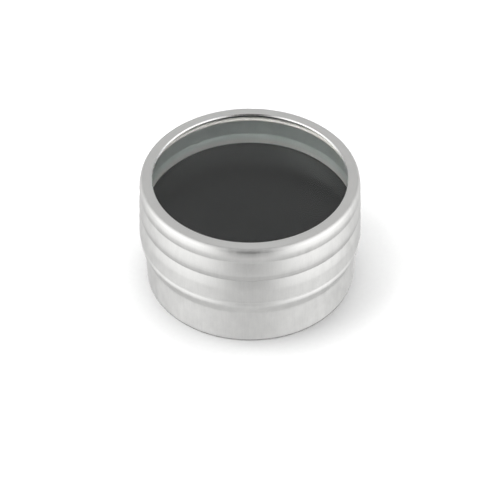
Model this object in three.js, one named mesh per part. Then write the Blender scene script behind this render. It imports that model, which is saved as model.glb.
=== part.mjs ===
// A cake of bow rosin in a round aluminium window tin.
//
// The tin is two seamless pressings of thin aluminium sheet. The body is a cup with a raised floor panel,
// a stop bead that the lid comes down on, a neck with a shallow groove round it and a rim rolled inwards.
// The lid pushes on over the body. It has a flat rim round a clear window, a rounded shoulder and two
// rolled bands above a plain skirt. The window lies under the rim on a flat liner ring, and the liner
// seals on the body's rolled rim. The rosin is poured into the body while it is molten, so it takes the
// shape of the inside of the cup.
//
// Millimetres, +Z up along the tin's axis, origin at the centre of the underside.

import * as THREE from "three";

// Driving dimensions. Every r is a radius from the tin's axis and every z a height above the underside.
const SHEET = 0.4; // sheet thickness of both pressings
const HEIGHT = 30.4; // underside to the top of the lid
const GAP = 0.05; // clearance between pieces that rest on or in each other
const SEGMENTS = 40; // facets round the axis, the same for every piece
const CURVE_STEPS = 4; // facets along each round stretch of a profile

const body = {
  panel: { r: 21.6, z: 0.5 }, // the floor's raised panel
  contact: { r: 22.6 }, // inner edge of the flat ring that the tin stands on
  corner: { radius: 1.1 }, // between the contact ring and the wall
  wall: { r: 25.5 },
  crease: { r: 25.8, z: 10.4 }, // where the wall meets the stop bead
  stopBead: { r: 26.74, z: 12.9, top: 14.05 },
  neck: { r: 25.5 },
  neckGroove: { r: 25.1, bottom: 16.6, top: 22.6 }, // holds the cake in the cup
  rim: { radius: 0.55, top: 27.75, turn: 205 }, // rolled inwards through turn degrees
};

const lid = {
  opening: { r: 23.4 },
  shoulder: { r: 26.62, radius: 1.3, tuck: 27.7 }, // tuck: where the side turns in to the groove
  upperGroove: { r: 26.48, z: 26.6 },
  upperBand: { r: 26.82, z: 23.6, tuck: 22.7 }, // widens from the groove down to z
  lowerGroove: { r: 26.64, z: 20.9 },
  skirt: { r: 27.0, z: 18.2, edge: 14.15 }, // the lower band widens from the groove down to z
};

const windowDisc = { r: 25.6, thickness: 1.0, bevel: 0.2 };
const liner = { inner: 24.9, outer: 25.75, thickness: 1.05 };
const rosin = { level: 19.55, climb: 0.3, climbWidth: 1.5 }; // climb: rise of the top where it wets the wall

function makeMaterial(name, colour, roughness, metalness) {
  const made = new THREE.MeshStandardMaterial({ color: colour, roughness, metalness });
  made.name = name;
  return made;
}

const aluminium = makeMaterial("satin aluminium", 0xd6d7d5, 0.32, 1);
const clearPlastic = makeMaterial("clear plastic", 0xe9f1ee, 0.04, 0);
clearPlastic.transparent = true;
clearPlastic.opacity = 0.25;
const linerFoam = makeMaterial("liner", 0x2a2a2b, 0.8, 0);
const darkRosin = makeMaterial("rosin", 0x1d1a18, 0.15, 0);

// The parallel curve of an open outline, at a signed distance to its left.
function parallel(outline, distance) {
  const last = outline.length - 1;
  return outline.map((point, i) => {
    const before = outline[i === 0 ? 0 : i - 1];
    const after = outline[i === 0 ? 1 : i];
    const incoming = after.clone().sub(before).normalize();
    const outgoing = i === last ? incoming : outline[i + 1].clone().sub(point).normalize();
    const along = incoming.clone().add(outgoing).normalize();
    const left = new THREE.Vector2(-along.y, along.x);
    return point.clone().addScaledVector(left, distance / incoming.dot(along));
  });
}

// A closed profile turned about the axis. A profile that meets the axis starts and ends on it.
function turned(name, profile, material) {
  const geometry = new THREE.LatheGeometry(profile, SEGMENTS);
  geometry.rotateX(Math.PI / 2);
  const mesh = new THREE.Mesh(geometry, material);
  mesh.name = name;
  return mesh;
}

// The body's outer face, from the axis outwards and up to the free edge of the rolled rim.
function bodyOuterFace() {
  const { panel, contact, corner, wall, crease, stopBead, neck, neckGroove, rim } = body;
  const path = new THREE.Path();
  path.moveTo(0, panel.z);
  path.lineTo(panel.r, panel.z);
  path.lineTo(contact.r, 0);
  path.lineTo(wall.r - corner.radius, 0);
  path.absarc(wall.r - corner.radius, corner.radius, corner.radius, -Math.PI / 2, 0, false);
  path.lineTo(crease.r, crease.z);
  path.quadraticCurveTo(stopBead.r, crease.z + 0.5, stopBead.r, stopBead.z);
  const width = stopBead.r - neck.r;
  path.absellipse(neck.r, stopBead.z, width, stopBead.top - stopBead.z, 0, Math.PI / 2, false);
  path.lineTo(neck.r, neckGroove.bottom);
  const controlRadius = 2 * neckGroove.r - neck.r; // brings the curve in to neckGroove.r half way up
  path.quadraticCurveTo(controlRadius, (neckGroove.bottom + neckGroove.top) / 2, neck.r, neckGroove.top);
  const rollCentre = rim.top - rim.radius;
  path.lineTo(neck.r, rollCentre);
  path.absarc(neck.r - rim.radius, rollCentre, rim.radius, 0, THREE.MathUtils.degToRad(rim.turn), false);
  return path.getPoints(CURVE_STEPS);
}

// The lid's outer face, from the window opening outwards and down to the cut edge.
function lidOuterFace() {
  const { opening, shoulder, upperGroove, upperBand, lowerGroove, skirt } = lid;
  const path = new THREE.Path();
  path.moveTo(opening.r, HEIGHT);
  const shoulderCentre = { r: shoulder.r - shoulder.radius, z: HEIGHT - shoulder.radius };
  path.lineTo(shoulderCentre.r, HEIGHT);
  path.absarc(shoulderCentre.r, shoulderCentre.z, shoulder.radius, Math.PI / 2, 0, true);
  path.lineTo(shoulder.r, shoulder.tuck);
  path.lineTo(upperGroove.r, upperGroove.z);
  path.lineTo(upperBand.r, upperBand.z);
  path.lineTo(upperBand.r, upperBand.tuck);
  path.lineTo(lowerGroove.r, lowerGroove.z);
  path.lineTo(skirt.r, skirt.z);
  path.lineTo(skirt.r, skirt.edge);
  return path.getPoints(CURVE_STEPS);
}

// The cup: its outer face and the parallel inner face.
function bodyProfile() {
  const outer = bodyOuterFace();
  const inner = parallel(outer, SHEET);
  return [...outer, ...inner.reverse()];
}

function lidProfile() {
  const outer = lidOuterFace();
  const inner = parallel(outer, -SHEET);
  return [...inner, ...outer.reverse(), inner[0].clone()];
}

// The window: a flat disc with bevelled edges.
function windowProfile(top) {
  const { r, thickness, bevel } = windowDisc;
  const bottom = top - thickness;
  return [
    new THREE.Vector2(0, bottom),
    new THREE.Vector2(r - bevel, bottom),
    new THREE.Vector2(r, bottom + bevel),
    new THREE.Vector2(r, top - bevel),
    new THREE.Vector2(r - bevel, top),
    new THREE.Vector2(0, top),
  ];
}

// The liner: a flat ring between the window and the body's rim.
function linerProfile(top) {
  const bottom = top - liner.thickness;
  return [
    new THREE.Vector2(liner.inner, bottom),
    new THREE.Vector2(liner.outer, bottom),
    new THREE.Vector2(liner.outer, top),
    new THREE.Vector2(liner.inner, top),
    new THREE.Vector2(liner.inner, bottom),
  ];
}

// The cake: the inside of the cup up to the fill level.
function rosinProfile() {
  const inside = parallel(bodyOuterFace(), SHEET + GAP).filter((point) => point.y < rosin.level);
  const edge = body.neckGroove.r - SHEET - GAP;
  const top = new THREE.Path();
  top.moveTo(edge, rosin.level + rosin.climb);
  top.quadraticCurveTo(edge - rosin.climbWidth / 3, rosin.level, edge - rosin.climbWidth, rosin.level);
  top.lineTo(0, rosin.level);
  return [...inside, ...top.getPoints(CURVE_STEPS)];
}

function makeTin() {
  const tin = new THREE.Group();
  tin.add(turned("tin_body", bodyProfile(), aluminium));
  tin.add(turned("rosin_cake", rosinProfile(), darkRosin));
  return tin;
}

function makeLid() {
  const windowTop = HEIGHT - SHEET - GAP;
  const linerTop = windowTop - windowDisc.thickness - GAP;
  const group = new THREE.Group();
  group.add(turned("lid_shell", lidProfile(), aluminium));
  group.add(turned("lid_window", windowProfile(windowTop), clearPlastic));
  group.add(turned("lid_liner", linerProfile(linerTop), linerFoam));
  return group;
}

const rosinTin = new THREE.Group();
rosinTin.add(makeTin(), makeLid());

export default rosinTin;
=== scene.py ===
"""The looks of a cake of bow rosin in its round aluminium window tin.

Every piece is a body of revolution about Z, built here as a fine lathe mesh that stands for its
faceted CAD solid. Outlines are lists of (radius, height) in millimetres, taken from the tin's axis
and from the surface that it stands on, and MM turns them into metres. The heights of the pieces and
some of their radii come from the frame.
"""

import math

import bmesh
import bpy
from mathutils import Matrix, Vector


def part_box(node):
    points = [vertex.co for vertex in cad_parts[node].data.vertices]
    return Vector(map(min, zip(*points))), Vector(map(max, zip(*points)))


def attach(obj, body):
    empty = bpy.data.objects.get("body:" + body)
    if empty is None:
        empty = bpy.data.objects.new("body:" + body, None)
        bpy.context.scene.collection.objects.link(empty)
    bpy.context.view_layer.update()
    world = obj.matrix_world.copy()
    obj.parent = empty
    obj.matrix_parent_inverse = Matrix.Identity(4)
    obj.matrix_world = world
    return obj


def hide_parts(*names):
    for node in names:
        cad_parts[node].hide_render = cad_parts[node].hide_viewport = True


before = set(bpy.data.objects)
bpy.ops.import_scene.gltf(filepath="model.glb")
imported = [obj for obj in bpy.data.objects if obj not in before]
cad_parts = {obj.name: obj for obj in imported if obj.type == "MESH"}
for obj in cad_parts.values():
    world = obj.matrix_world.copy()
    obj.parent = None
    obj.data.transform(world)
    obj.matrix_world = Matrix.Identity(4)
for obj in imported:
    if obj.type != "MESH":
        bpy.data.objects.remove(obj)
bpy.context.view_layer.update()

MM = 0.001
SEGMENTS = 192  # round the axis
ARC_STEP = math.radians(7)  # largest turn between two points of a round stretch
SHARP = math.radians(28)  # edges that fold more than this stay crisp
NOTHING = 1e-6  # a length in millimetres that counts as none

# The camera, in metres, at the photograph's viewing angle
CAMERA_DISTANCE = 0.6
CAMERA_ELEVATION = math.radians(42.57)
CAMERA_AIM = Vector((0, 0, 0.0064))
CAMERA_LENS = 175.1  # in millimetres, like the sensor's width
CAMERA_SENSOR = 36
CAMERA_NEAR = 0.01

# The studio that the metal reflects, as pairs of an elevation in degrees and a radiance: dark behind
# the camera, bright at both sides and grey at the back. Below the horizon it stands for the paper,
# which the tin itself shades at its feet.
STUDIO_FRONT = ((-90, 0.57), (-45, 0.62), (-32, 0.72), (-24, 0.36), (-16, 0.0), (0, 0.04),
                (50, 0.20), (72, 0.30), (90, 0.28))
STUDIO_SIDE = ((-90, 0.57), (-45, 0.57), (-30, 1.28), (-18, 1.50), (25, 1.32), (40, 1.15),
               (55, 0.91), (72, 0.49), (90, 0.28))
STUDIO_BACK = ((-90, 0.57), (-50, 0.43), (-30, 0.78), (-8, 0.68), (25, 0.52), (40, 0.52),
               (55, 0.66), (72, 0.47), (90, 0.28))
FRONT_TO_SIDE = (10, 45)  # azimuths in degrees, counted from the front
SIDE_TO_BACK = (80, 130)

# Soft boxes that light the paper and, through the window, the inside of the tin: name, azimuth from the
# front to the right and elevation in degrees, radiance
SOFTBOXES = (
    ("softbox_left", -81, 61, 11.1),
    ("softbox_front", 5, 58, 4.8),
    ("softbox_back", 180, 76, 10.0),
    ("softbox_right", 85, 68, 5.2),
)
SOFTBOX_DISTANCE = 0.6
SOFTBOX_SIDE = 0.35
FLOOR_REACH = 3.0  # from the middle of the paper to its edges


# ---------------------------------------------------------------- sizes, in millimetres

def top_of(node):
    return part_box(node)[1][2] / MM


def bottom_of(node):
    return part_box(node)[0][2] / MM


def radius_of(node):
    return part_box(node)[1][0] / MM


SHEET = 0.4  # thickness of both pressings
BEAD_R = radius_of("tin_body")

# A pair of points is a curve: where its two tangents meet, and where it ends.
body = {
    "panel_r": 21.6, "panel_z": 0.5, "contact_r": 22.6, "corner": 0.9, "wall_r": 25.5,
    "wall_top": (25.78, 9.4), "crease": ((25.8, 9.9), (26.0, 10.3)),
    "bead_start": (BEAD_R - 0.25, 11.55), "bead_foot": ((BEAD_R, 12.05), (BEAD_R, 12.55)),
    "bead_head": ((BEAD_R, 12.95), (BEAD_R - 0.08, 13.55)),
    "edge_start": (26.68, 13.88), "bead_edge": ((26.66, 14.05), (26.48, 14.05)),
    "neck_start": (25.9, 14.05), "neck_foot": ((25.5, 14.05), (25.5, 14.45)),
    "neck_r": 25.5, "groove_r": 25.1, "groove_bottom": 16.6, "groove_z": 19.6,
    "groove_wall": ((25.1, 21.1), (25.45, 22.2)), "groove_top": ((25.5, 22.4), (25.5, 22.7)),
    "roll": 0.55, "top": top_of("tin_body"), "turn": math.radians(205),
}
# A groove of the lid starts upright at top_z, leans in by the angle steep and is deepest at r and z.
# The band below it starts there, leans out by the angle flare and is upright again at its end.
lid = {
    "top": top_of("lid_shell"), "edge": bottom_of("lid_shell"), "edge_height": 0.15,
    "opening_r": 23.4, "bevel": 0.22, "edge_round": 0.05, "flat_r": 24.6, "droop": 0.06,
    "shoulder_r": 26.6, "shoulder_width": 0.95, "shoulder_height": 1.25, "shoulder_ease": 0.14,
    "shoulder_start": math.radians(84), "shoulder_end": math.radians(14),
    "shoulder_turn": 28.5, "shoulder_z": 28.0, "skirt_r": 26.98,
    "groove1": {"top_z": 27.95, "r": 26.50, "z": 26.62, "steep": math.radians(15), "step": 0.0},
    "band1": {"end_r": 26.80, "end_z": 22.9, "flare": math.radians(6)},
    "groove2": {"top_z": 22.75, "r": 26.65, "z": 20.9, "steep": math.radians(22), "step": 0.02},
    "band2": {"end_r": 26.94, "end_z": 17.6, "flare": math.radians(6.2)},
}
disc = {
    "r": radius_of("lid_window"), "top": top_of("lid_window"), "bottom": bottom_of("lid_window"),
    "bevel": 0.2,
}
liner = {
    "inner": 24.9, "outer": radius_of("lid_liner"), "top": top_of("lid_liner"),
    "bottom": bottom_of("lid_liner"), "round": 0.15,
    "last_turn": math.pi * 0.98,  # just short of the outline's first point
}
cake = {"level": 19.55, "climb": 0.3, "climb_width": 1.5, "gap": 0.05}

GROOVE_PAINTED_SHADE = ((26.7, 27.6, 0.97), (21.0, 22.3, 0.90))  # painted shade in the lid's grooves: bottom, top, share of the colour kept
TOP_FADE = (0.3, -0.2)  # from the top: where the painted shade starts, and where it is full
BOTTOM_FADE = (-0.1, 0.05)  # the same from the bottom
LIT_BAND_TOP = 22.8  # where the painted light on the neck, a paler and less metallic band above the cake, begins
LIT_BAND_FULL = 20.2  # where the painted light is full
LIT_BAND_UNEVEN = 0.6  # how far its edge wanders

# Which way a face looks, as a share of its normal
SIDEWAYS = 0.3  # of a wall's outside or inside
LEVEL = 0.7  # of a flat face that looks down
EDGE_LEVEL = 0.5  # of the lid's lower edge

# Places in a pressing's list of materials; the last is for its rim or its sheared edge
DRAWN, TURNED, LACQUERED, RIM = range(4)


# ---------------------------------------------------------------- outlines
# The last number of a line, bend or swing is how many points it adds.

def line(points, r, z, steps=1):
    """Goes on from the last point in a straight line."""
    r0, z0 = points[-1]
    for i in range(1, steps + 1):
        t = i / steps
        points.append((r0 + (r - r0) * t, z0 + (z - z0) * t))


def arc(points, centre_r, centre_z, width, height, start, end):
    """An arc of an ellipse, from one angle to the other, that begins at or after the last point."""
    steps = max(2, math.ceil(abs(end - start) / ARC_STEP))
    for i in range(steps + 1):
        a = start + (end - start) * i / steps
        point = (centre_r + width * math.cos(a), centre_z + height * math.sin(a))
        if math.dist(point, points[-1]) > NOTHING:
            points.append(point)


def bend(points, turn, end, steps):
    """A quadratic curve from the last point. The tangents at its ends meet at turn."""
    (r0, z0), (r1, z1), (r2, z2) = points[-1], turn, end
    for i in range(1, steps + 1):
        t = i / steps
        a, b, c = (1 - t) ** 2, 2 * t * (1 - t), t * t
        points.append((a * r0 + b * r1 + c * r2, a * z0 + b * z1 + c * z2))


def swing(points, r, z, steps):
    """A smooth S from the last point, upright at both ends."""
    r0, z0 = points[-1]
    for i in range(1, steps + 1):
        t = i / steps
        points.append((r0 + (r - r0) * (0.5 - 0.5 * math.cos(math.pi * t)), z0 + (z - z0) * t))


def parallel(points, distance):
    """The parallel curve at a signed distance to the left."""
    moved = []
    for i, here in enumerate(points):
        before = points[i - 1] if i else here
        after = points[i + 1] if i + 1 < len(points) else here
        way_in = Vector(here) - Vector(before)
        way_out = Vector(after) - Vector(here)
        way_in = (way_in if i else way_out).normalized()
        way_out = (way_out if i + 1 < len(points) else way_in).normalized()
        along = (way_in + way_out).normalized()
        reach = distance / way_in.dot(along)
        moved.append((here[0] - along.y * reach, here[1] + along.x * reach))
    return moved


def body_outer_face():
    b = body
    points = [(0, b["panel_z"])]
    line(points, b["panel_r"], b["panel_z"], 12)
    line(points, b["contact_r"], 0, 2)
    line(points, b["wall_r"] - b["corner"], 0, 3)
    arc(points, b["wall_r"] - b["corner"], b["corner"], b["corner"], b["corner"], -math.pi / 2, 0)
    line(points, *b["wall_top"], 14)
    bend(points, *b["crease"], 6)
    line(points, *b["bead_start"], 3)
    bend(points, *b["bead_foot"], 6)
    bend(points, *b["bead_head"], 6)
    line(points, *b["edge_start"], 2)
    bend(points, *b["bead_edge"], 6)
    line(points, *b["neck_start"], 2)
    bend(points, *b["neck_foot"], 6)
    line(points, b["neck_r"], b["groove_bottom"], 4)
    swing(points, b["groove_r"], b["groove_z"], 12)
    bend(points, *b["groove_wall"], 12)
    bend(points, *b["groove_top"], 5)
    line(points, b["neck_r"], b["top"] - b["roll"], 6)
    arc(points, b["neck_r"] - b["roll"], b["top"] - b["roll"], b["roll"], b["roll"], 0, b["turn"])
    return points


def groove(points, sizes):
    """A groove of the lid: the side turns in under itself, and a small step may lead out again."""
    start_r = points[-1][0]
    line(points, start_r, sizes["top_z"], 2)
    turn_z = sizes["z"] + (start_r - sizes["r"]) / math.tan(sizes["steep"])
    bend(points, (start_r, turn_z), (sizes["r"], sizes["z"]), 12)
    if sizes["step"]:
        line(points, sizes["r"] + sizes["step"], sizes["z"] - sizes["step"])


def band(points, sizes):
    """A band of the lid, which widens down from the groove and ends upright."""
    start_r, start_z = points[-1]
    turn_z = start_z - (sizes["end_r"] - start_r) / math.tan(sizes["flare"])
    bend(points, (sizes["end_r"], turn_z), (sizes["end_r"], sizes["end_z"]), 20)


def lid_outer_face():
    d = lid
    width, height, start = d["shoulder_width"], d["shoulder_height"], d["shoulder_start"]
    centre = d["shoulder_r"] - d["shoulder_ease"] - width
    rim_r, rim_z = centre + width * math.cos(start), d["top"] - d["droop"]
    points = [(d["opening_r"] + d["bevel"], d["top"])]
    line(points, d["flat_r"], d["top"], 4)
    bend(points, ((d["flat_r"] + rim_r) / 2, d["top"]), (rim_r, rim_z), 8)
    arc(points, centre, rim_z - height * math.sin(start), width, height, start, d["shoulder_end"])
    bend(points, (d["shoulder_r"], d["shoulder_turn"]), (d["shoulder_r"], d["shoulder_z"]), 8)
    groove(points, d["groove1"])
    band(points, d["band1"])
    groove(points, d["groove2"])
    band(points, d["band2"])
    line(points, d["skirt_r"], d["edge"] + d["edge_height"], 12)
    return points


# ---------------------------------------------------------------- meshes

def lathe(name, outline, closed):
    """Turns an outline about Z. An outline that isn't closed starts and ends on the axis."""
    mesh = bpy.data.meshes.new(name)
    made = bmesh.new()
    rings = []
    for r, z in outline:
        if r < NOTHING:
            rings.append([made.verts.new((0, 0, z * MM))])
            continue
        ring = []
        for i in range(SEGMENTS):
            a = 2 * math.pi * i / SEGMENTS
            ring.append(made.verts.new((r * MM * math.cos(a), r * MM * math.sin(a), z * MM)))
        rings.append(ring)
    pairs = list(zip(rings, rings[1:]))
    if closed:
        pairs.append((rings[-1], rings[0]))
    for low, high in pairs:
        for i in range(SEGMENTS):
            j = (i + 1) % SEGMENTS
            if len(low) == 1:
                made.faces.new((low[0], high[j], high[i]))
            elif len(high) == 1:
                made.faces.new((low[i], low[j], high[0]))
            else:
                made.faces.new((low[i], low[j], high[j], high[i]))
    bmesh.ops.recalc_face_normals(made, faces=made.faces)
    for face in made.faces:
        face.smooth = True
    for edge in made.edges:
        edge.smooth = edge.calc_face_angle(0) < SHARP
    made.to_mesh(mesh)
    made.free()
    piece = bpy.data.objects.new(name, mesh)
    bpy.context.scene.collection.objects.link(piece)
    return piece


def paint(piece, chooser, materials):
    """Gives each face the material whose number chooser(radius, height, outwards, up) returns."""
    for material in materials:
        piece.data.materials.append(material)
    for face in piece.data.polygons:
        x, y, z = face.center
        r = math.hypot(x, y)
        outwards = (face.normal.x * x + face.normal.y * y) / r
        face.material_index = chooser(r / MM, z / MM, outwards, face.normal.z)


# ---------------------------------------------------------------- materials

class Nodes:
    """A short way to write a node tree."""

    def __init__(self, tree, shader):
        self.tree = tree
        self.shader = shader

    def add(self, kind, settings=None, **inputs):
        node = self.tree.nodes.new(kind)
        for key, value in (settings or {}).items():
            setattr(node, key, value)
        for key, value in inputs.items():
            self.put(node.inputs[key.replace("_", " ")], value)
        return node

    def put(self, socket, value):
        if hasattr(value, "is_output"):
            self.tree.links.new(value, socket)
        else:
            socket.default_value = value

    def set(self, **inputs):
        for key, value in inputs.items():
            self.put(self.shader.inputs[key.replace("_", " ")], value)

    def place(self):
        """Where a point is on its piece, in metres."""
        return self.add("ShaderNodeTexCoord").outputs["Object"]

    def stretched(self, x, y, z):
        """The same, drawn out along the axes whose number is below 1."""
        return self.add("ShaderNodeMapping", Vector=self.place(), Scale=(x, y, z)).outputs["Vector"]

    def rings(self, across, along):
        """A place that changes fast with the radius and slowly round the axis."""
        parts = self.add("ShaderNodeSeparateXYZ", Vector=self.place())
        x, y = parts.outputs["X"], parts.outputs["Y"]
        flat = self.add("ShaderNodeCombineXYZ", X=x, Y=y, Z=0.0).outputs["Vector"]
        r = self.add("ShaderNodeVectorMath", {"operation": "LENGTH"}, Vector=flat).outputs["Value"]
        way = self.add("ShaderNodeVectorMath", {"operation": "NORMALIZE"}, Vector=flat)
        slow = self.add("ShaderNodeVectorMath", {"operation": "SCALE"}, Scale=along)
        self.put(slow.inputs["Vector"], way.outputs["Vector"])
        fast = self.add("ShaderNodeCombineXYZ", X=0.0, Y=0.0, Z=self.maths("MULTIPLY", r, across))
        both = self.add("ShaderNodeVectorMath", {"operation": "ADD"})
        self.put(both.inputs[0], slow.outputs["Vector"])
        self.put(both.inputs[1], fast.outputs["Vector"])
        return both.outputs["Vector"]

    def azimuth(self, parts):
        """Degrees from the front, the same on both sides."""
        forwards = self.maths("MULTIPLY", parts.outputs["Y"], -1.0)
        turn = self.maths("ARCTAN2", parts.outputs["X"], forwards)
        return self.maths("DEGREES", self.maths("ABSOLUTE", turn))

    def ease(self, value, start, end):
        """From 0 at start to 1 at end."""
        smooth = {"interpolation_type": "SMOOTHSTEP"}
        node = self.add("ShaderNodeMapRange", smooth, Value=value, From_Min=start, From_Max=end)
        return node.outputs["Result"]

    def blend(self, factor, one, other):
        node = self.add("ShaderNodeMix", {"data_type": "RGBA"}, Factor=factor)
        self.put(node.inputs["A"], one)
        self.put(node.inputs["B"], other)
        return node.outputs["Result"]

    def maths(self, operation, *values):
        node = self.add("ShaderNodeMath", {"operation": operation})
        for socket, value in zip(node.inputs, values):
            self.put(socket, value)
        return node.outputs["Value"]

    def noise(self, vector, scale, detail, rough):
        node = self.add("ShaderNodeTexNoise", Vector=vector, Scale=scale, Detail=detail, Roughness=rough)
        return node.outputs["Fac"]

    def spread(self, value, low, high, start=0.3, end=0.7):
        """From low where the value is start, to high where it is end."""
        node = self.add("ShaderNodeMapRange", Value=value, From_Min=start, From_Max=end)
        self.put(node.inputs["To Min"], low)
        self.put(node.inputs["To Max"], high)
        return node.outputs["Result"]

    def colours(self, value, *stops):
        """A ramp through the stops, which are pairs of a position and a colour."""
        ramp = self.add("ShaderNodeValToRGB", Fac=value)
        elements = ramp.color_ramp.elements
        for element, (position, colour) in zip(elements, (stops[0], stops[-1])):
            element.position = position
            element.color = (*colour, 1)
        for position, colour in stops[1:-1]:
            elements.new(position).color = (*colour, 1)
        return ramp.outputs["Color"]

    def bump(self, height, distance, under=None):
        """A relief of that height in metres, over another one if there is one under it."""
        node = self.add("ShaderNodeBump", Height=height, Distance=distance, Strength=1.0)
        if under is not None:
            self.put(node.inputs["Normal"], under)
        return node.outputs["Normal"]


def new_material(name):
    material = bpy.data.materials.new(name)
    material.use_nodes = True
    return material, Nodes(material.node_tree, material.node_tree.nodes["Principled BSDF"])


def grey(level):
    return level, level, level


def drawn_aluminium(name, dull, bright, grooves=()):
    """The side walls: satin metal with the fine upright lines of deep drawing, and painted shade in the
    grooves.
    """
    material, m = new_material(name)
    lines = m.noise(m.stretched(1, 1, 0.05), scale=2600, detail=3, rough=0.65)
    clouds = m.noise(m.stretched(1, 1, 0.5), scale=500, detail=4, rough=0.65)
    grain = m.noise(m.place(), scale=5200, detail=3, rough=0.7)
    mottle = m.maths("MULTIPLY_ADD", grain, 0.5, m.maths("ADD", m.maths("MULTIPLY", lines, 0.6), clouds))
    colour = m.colours(m.spread(mottle, 0.0, 1.0, start=0.8, end=1.3), (0.0, dull), (1.0, bright))
    height = m.add("ShaderNodeSeparateXYZ", Vector=m.place()).outputs["Z"]
    # Painted shade: each groove darkens the colour to the share that it keeps
    for low, high, keep in grooves:
        below_top = m.ease(height, *((high + offset) * MM for offset in TOP_FADE))
        above_bottom = m.ease(height, *((low + offset) * MM for offset in BOTTOM_FADE))
        shade = m.maths("MULTIPLY", below_top, above_bottom)
        groove_shaded = m.add("ShaderNodeMix", {"data_type": "RGBA", "blend_type": "MULTIPLY"}, Factor=shade)
        m.put(groove_shaded.inputs["A"], colour)
        m.put(groove_shaded.inputs["B"], (*grey(keep), 1))
        colour = groove_shaded.outputs["Result"]
    m.set(Base_Color=colour, Metallic=1.0)
    m.set(Roughness=m.spread(m.maths("ADD", lines, clouds), 0.36, 0.44, start=0.8, end=1.2))
    m.set(Normal=m.bump(grain, 0.000003, under=m.bump(lines, 0.000006)))
    return material


def turned_aluminium():
    """The flat faces: satin metal with faint circular lines."""
    material, m = new_material("turned_aluminium")
    lines = m.noise(m.rings(across=6000, along=1.2), scale=1.0, detail=3, rough=0.6)
    clouds = m.noise(m.place(), scale=300, detail=3, rough=0.55)
    grain = m.noise(m.place(), scale=9000, detail=2, rough=0.6)
    m.set(Base_Color=m.colours(clouds, (0.3, (0.828, 0.826, 0.812)), (0.7, (0.858, 0.856, 0.842))))
    m.set(Roughness=m.spread(m.maths("ADD", lines, clouds), 0.37, 0.43, start=0.8, end=1.2))
    m.set(Metallic=1.0, Normal=m.bump(grain, 0.000001, under=m.bump(lines, 0.000002)))
    return material


def cut_aluminium():
    """The sheared edges of the sheet: rough across, brighter where the burr is rubbed."""
    material, m = new_material("cut_aluminium")
    nicks = m.noise(m.place(), scale=2600, detail=3, rough=0.7)
    m.set(Base_Color=m.colours(nicks, (0.35, (0.80, 0.80, 0.79)), (0.65, (0.94, 0.94, 0.93))))
    m.set(Metallic=1.0, Roughness=m.spread(nicks, 0.12, 0.3), Normal=m.bump(nicks, 0.00001))
    return material


def lacquered_aluminium():
    """The inside of both pressings: a thin, greenish matt lacquer, with painted light just above the
    cake.
    """
    material, m = new_material("lacquered_aluminium")
    clouds = m.noise(m.stretched(1, 1, 0.4), scale=500, detail=3, rough=0.55)
    peel = m.noise(m.place(), scale=4200, detail=2, rough=0.5)
    height = m.add("ShaderNodeSeparateXYZ", Vector=m.place()).outputs["Z"]
    uneven = m.maths("MULTIPLY_ADD", clouds, LIT_BAND_UNEVEN * MM, height)
    # Painted light: paler and less metallic in a band just above the cake
    lit_band = m.ease(uneven, LIT_BAND_TOP * MM, LIT_BAND_FULL * MM)
    lacquer = m.colours(clouds, (0.3, (0.72, 0.76, 0.74)), (0.7, (0.78, 0.82, 0.80)))
    m.set(Base_Color=m.blend(lit_band, lacquer, (0.70, 0.665, 0.65, 1)))
    m.set(Metallic=m.maths("MULTIPLY_ADD", lit_band, -0.3, 0.8))
    m.set(Roughness=m.spread(clouds, 0.36, 0.44), Normal=m.bump(peel, 0.000003))
    return material


def rim_painted_highlight():
    """The rolled rim: warm near-white, matt and barely metallic, a painted highlight on the curl,
    mottled at random.
    """
    material, m = new_material("rim_painted_highlight")
    dust = m.noise(m.place(), scale=1500, detail=4, rough=0.65)
    m.set(Base_Color=m.colours(dust, (0.3, (0.90, 0.83, 0.80)), (0.7, (1.0, 0.94, 0.91))))
    m.set(Metallic=m.spread(dust, 0.3, 0.1), Roughness=m.spread(dust, 0.5, 0.7))
    m.set(Normal=m.bump(dust, 0.000008))
    return material


def rosin_material():
    """Dark rosin: glassy, nearly black, with a thin haze of dust and a few specks."""
    material, m = new_material("dark_rosin")
    haze = m.noise(m.place(), scale=130, detail=4, rough=0.6)
    dust = m.noise(m.place(), scale=5200, detail=2, rough=0.7)
    swell = m.noise(m.place(), scale=90, detail=2, rough=0.4)
    specks = m.spread(dust, 0.0, 1.0, start=0.72, end=0.78)
    tint = m.colours(haze, (0.3, grey(0.001)), (0.7, grey(0.0025)))
    m.set(Base_Color=m.blend(specks, tint, (*grey(0.10), 1)), IOR=1.52, Specular_IOR_Level=0.09)
    m.set(Roughness=m.spread(haze, 0.14, 0.24), Normal=m.bump(swell, 0.000005))
    return material


def window_material():
    """Clear polished plastic."""
    material, m = new_material("clear_plastic")
    faint = m.noise(m.place(), scale=60, detail=2, rough=0.5)
    m.set(Base_Color=(0.96, 0.985, 0.975, 1), Transmission_Weight=1.0, IOR=1.36)
    m.set(Roughness=m.spread(faint, 0.0, 0.01), Normal=m.bump(faint, 0.000001))
    return material


def liner_material():
    """Closed-cell foam, near black: partly its own colour, partly painted shade for the gap under the
    lid's rim.
    """
    material, m = new_material("liner_foam")
    cells = m.add("ShaderNodeTexVoronoi", Vector=m.place(), Scale=9000.0).outputs["Distance"]
    m.set(Base_Color=m.colours(cells, (0.0, grey(0.018)), (0.8, (0.045, 0.045, 0.046))))
    m.set(Roughness=m.spread(cells, 0.65, 0.85, start=0.0, end=0.8), Normal=m.bump(cells, 0.00002))
    return material


def floor_material():
    """Pale seamless paper, which the soft boxes light up to white."""
    material, m = new_material("seamless_paper")
    fibres = m.noise(m.place(), scale=900, detail=3, rough=0.6)
    m.set(Base_Color=m.colours(fibres, (0.3, grey(0.375)), (0.7, grey(0.385))))
    m.set(Roughness=0.9, Specular_IOR_Level=0.0)
    return material


# ---------------------------------------------------------------- pieces

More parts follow.
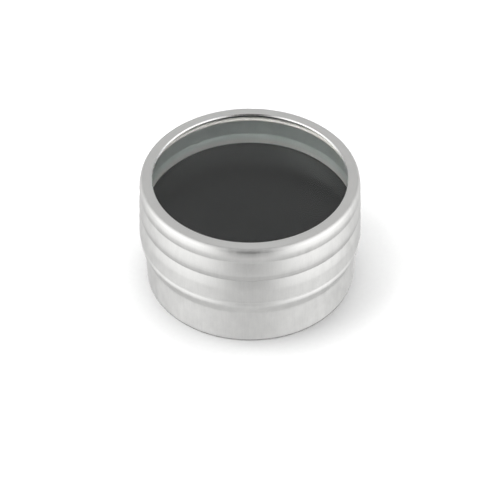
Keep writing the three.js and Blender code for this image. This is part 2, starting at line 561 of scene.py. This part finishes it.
def make_camera():
    data = bpy.data.cameras.new("camera")
    data.lens = CAMERA_LENS
    data.sensor_width = CAMERA_SENSOR
    data.clip_start = CAMERA_NEAR
    camera = bpy.data.objects.new("camera", data)
    bpy.context.scene.collection.objects.link(camera)
    back = Vector((0, -math.cos(CAMERA_ELEVATION), math.sin(CAMERA_ELEVATION)))
    camera.location = CAMERA_AIM + back * CAMERA_DISTANCE
    camera.rotation_euler = back.to_track_quat("Z", "Y").to_euler()
    bpy.context.scene.camera = camera


def make_tin_body(drawn, turned, lacquered, rim_highlight):
    outer = body_outer_face()
    inner = parallel(outer, SHEET)
    piece = lathe("tin_body_fine", [*outer, *reversed(inner)], False)
    roll_bottom = body["top"] - 2 * body["roll"]
    foot_r = body["wall_r"] - 2 * body["corner"]

    def chooser(r, z, outwards, up):
        # The rolled rim takes the material with the painted highlight
        if z > roll_bottom:
            return RIM
        if (z < SHEET and r > foot_r) or outwards > SIDEWAYS:
            return DRAWN
        return TURNED if up < -LEVEL else LACQUERED

    paint(piece, chooser, [drawn, turned, lacquered, rim_highlight])
    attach(piece, "tin")
    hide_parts("tin_body")


def make_lid_shell(drawn, turned, lacquered, cut):
    outer = lid_outer_face()
    inner = parallel(outer, -SHEET)
    half = SHEET / 2
    edge_top = lid["edge"] + lid["edge_height"]
    outline = [*inner]
    arc(outline, lid["skirt_r"] - half, edge_top, half, lid["edge_height"], math.pi, 2 * math.pi)
    outline.extend(reversed(outer[:-1]))
    line(outline, lid["opening_r"], inner[0][1] + lid["edge_round"], 3)
    piece = lathe("lid_shell_fine", outline, True)
    turned_r = lid["shoulder_r"] - lid["shoulder_width"]
    bevel_r = lid["opening_r"] + lid["bevel"]

    def chooser(r, z, outwards, up):
        if (r < bevel_r and outwards < 0) or (z < edge_top and up < -EDGE_LEVEL):
            return RIM
        if outwards < -SIDEWAYS or up < -LEVEL:
            return LACQUERED
        return TURNED if r < turned_r else DRAWN

    paint(piece, chooser, [drawn, turned, lacquered, cut])
    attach(piece, "lid")
    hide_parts("lid_shell")


def make_rosin(material):
    """The cake fills the tin up to its level, and climbs a little where it meets the wall."""
    off_wall = SHEET + cake["gap"]
    level, edge_r = cake["level"], body["groove_r"] - off_wall
    outline = [point for point in parallel(body_outer_face(), off_wall) if point[1] < level]
    outline.append((edge_r, level + cake["climb"]))
    bend(outline, (edge_r - cake["climb_width"] / 3, level), (edge_r - cake["climb_width"], level), 8)
    line(outline, 0, level, 30)
    piece = lathe("rosin_cake_fine", outline, False)
    piece.data.materials.append(material)
    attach(piece, "tin")
    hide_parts("rosin_cake")


def make_window(material):
    d = disc
    outline = [(0, d["bottom"])]
    line(outline, d["r"] - d["bevel"], d["bottom"], 4)
    arc(outline, d["r"] - d["bevel"], d["bottom"] + d["bevel"], d["bevel"], d["bevel"], -math.pi / 2, 0)
    line(outline, d["r"], d["top"] - d["bevel"])
    arc(outline, d["r"] - d["bevel"], d["top"] - d["bevel"], d["bevel"], d["bevel"], 0, math.pi / 2)
    line(outline, 0, d["top"], 4)
    piece = lathe("lid_window_fine", outline, False)
    piece.data.materials.append(material)
    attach(piece, "lid")
    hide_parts("lid_window")


def make_liner(material):
    n = liner
    inner, outer, low, high, round_ = n["inner"], n["outer"], n["bottom"], n["top"], n["round"]
    outline = [(inner, high - round_)]
    arc(outline, inner + round_, low + round_, round_, round_, math.pi, math.pi * 1.5)
    arc(outline, outer - round_, low + round_, round_, round_, -math.pi / 2, 0)
    arc(outline, outer - round_, high - round_, round_, round_, 0, math.pi / 2)
    arc(outline, inner + round_, high - round_, round_, round_, math.pi / 2, n["last_turn"])
    piece = lathe("lid_liner_fine", outline, True)
    piece.data.materials.append(material)
    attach(piece, "lid")
    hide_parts("lid_liner")


# ---------------------------------------------------------------- stage

def make_floor():
    mesh = bpy.data.meshes.new("floor")
    far = FLOOR_REACH
    corners = [(-far, -far, 0), (far, -far, 0), (far, far, 0), (-far, far, 0)]
    mesh.from_pydata(corners, [], [(0, 1, 2, 3)])
    floor = bpy.data.objects.new("floor", mesh)
    bpy.context.scene.collection.objects.link(floor)
    mesh.materials.append(floor_material())
    floor.visible_glossy = False  # the metal reflects the studio's lower half in its place


def make_softbox(name, azimuth, elevation, radiance):
    """A square soft box that faces the origin."""
    data = bpy.data.lights.new(name, "AREA")
    data.shape = "SQUARE"
    data.size = SOFTBOX_SIDE
    data.energy = radiance * math.pi * SOFTBOX_SIDE ** 2
    light = bpy.data.objects.new(name, data)
    bpy.context.scene.collection.objects.link(light)
    a, e = math.radians(azimuth), math.radians(elevation)
    way = Vector((math.sin(a) * math.cos(e), -math.cos(a) * math.cos(e), math.sin(e)))
    light.location = way * SOFTBOX_DISTANCE
    light.rotation_euler = way.to_track_quat("Z", "Y").to_euler()
    light.visible_camera = False
    light.visible_glossy = False


def make_world():
    """The studio round the stage."""
    world = bpy.data.worlds.new("studio")
    bpy.context.scene.world = world
    world.use_nodes = True
    w = Nodes(world.node_tree, world.node_tree.nodes["Background"])
    way = w.add("ShaderNodeSeparateXYZ", Vector=w.add("ShaderNodeTexCoord").outputs["Generated"])
    azimuth = w.azimuth(way)
    height = w.maths("MULTIPLY_ADD", way.outputs["Z"], 0.5, 0.5)
    brightest = max(radiance for elevation, radiance in STUDIO_SIDE)

    def by_height(stops):
        """The stops as a ramp over the height, which goes from 0 straight down to 1 straight up."""
        positions = (0.5 + 0.5 * math.sin(math.radians(elevation)) for elevation, radiance in stops)
        colours = (grey(radiance / brightest) for elevation, radiance in stops)
        return w.colours(height, *zip(positions, colours))

    colour = w.blend(w.ease(azimuth, *FRONT_TO_SIDE), by_height(STUDIO_FRONT), by_height(STUDIO_SIDE))
    colour = w.blend(w.ease(azimuth, *SIDE_TO_BACK), colour, by_height(STUDIO_BACK))
    w.set(Color=colour, Strength=brightest)


def make_lights():
    for name, azimuth, elevation, radiance in SOFTBOXES:
        make_softbox(name, azimuth, elevation, radiance)
    make_world()


# ---------------------------------------------------------------- the scene

bpy.context.scene.view_settings.view_transform = "Standard"
make_camera()
# The body's wall is a lighter copy of the lid's metal: partly its own tone, partly painted reflection of
# the lit paper near the foot
body_wall = drawn_aluminium("drawn_body", (0.845, 0.843, 0.83), (0.925, 0.923, 0.908))
lid_wall = drawn_aluminium("drawn_lid", (0.785, 0.783, 0.77), (0.865, 0.863, 0.849), GROOVE_PAINTED_SHADE)
metals = turned_aluminium(), lacquered_aluminium()
make_tin_body(body_wall, *metals, rim_painted_highlight())
make_rosin(rosin_material())
make_lid_shell(lid_wall, *metals, cut_aluminium())
make_window(window_material())
make_liner(liner_material())
make_floor()
make_lights()
